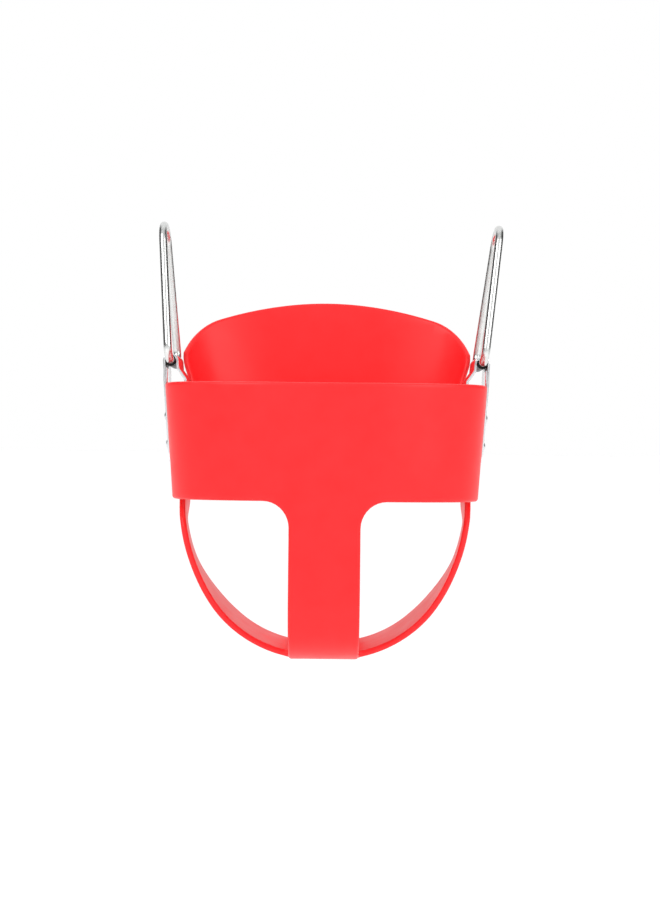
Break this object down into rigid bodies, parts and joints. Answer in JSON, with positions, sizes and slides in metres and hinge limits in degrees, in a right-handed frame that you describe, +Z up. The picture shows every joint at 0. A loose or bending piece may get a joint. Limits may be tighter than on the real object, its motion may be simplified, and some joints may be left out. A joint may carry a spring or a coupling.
{
  "type": "toddler bucket swing",
  "caption": "High-back bucket swing seat for a toddler: moulded arms round leg openings, riveted side brackets and rod triangles that swing on the brackets' loops.",
  "frame": {"origin": "middle of the seat's underside, half way between the hanger brackets", "axes": "+Z up, -Y the way the child faces, +X towards the bracket on the right of a front view"},
  "size_m": [0.3435, 0.228, 0.4291],
  "materials": {
    "eva": "matt-satin moulded EVA",
    "core_steel": "galvanised spring steel",
    "bracket_steel": "bright zinc plated",
    "rivet_steel": "bright zinc plated",
    "nylon": "black nylon",
    "hanger_steel": "bright zinc plated rod"
  },
  "bodies": {
    "bucket": {"front_panel": "eva", "back_panel": "eva", "seat_floor": "eva", "left_side_strap": "eva", "right_side_strap": "eva", "front_core": "core_steel", "back_core": "core_steel", "floor_core": "core_steel", "left_strap_core": "core_steel", "right_strap_core": "core_steel", "left_bracket": "bracket_steel", "right_bracket": "bracket_steel", "left_rivets": "rivet_steel", "right_rivets": "rivet_steel", "left_washers": "rivet_steel", "right_washers": "rivet_steel", "left_liner": "nylon", "right_liner": "nylon"},
    "left_hanger": {"left_hanger": "hanger_steel"},
    "right_hanger": {"right_hanger": "hanger_steel"}
  },
  "joints": [
    {"name": "left_hanger_swing", "type": "hinge", "parent": "bucket", "child": "left_hanger", "pos_m": [-0.154, 0, 0.289], "axis": [0, 1, 0], "range_deg": [-145, 138]},
    {"name": "right_hanger_swing", "type": "hinge", "parent": "bucket", "child": "right_hanger", "pos_m": [0.154, 0, 0.289], "axis": [0, 1, 0], "range_deg": [-140, 141]}
  ]
}
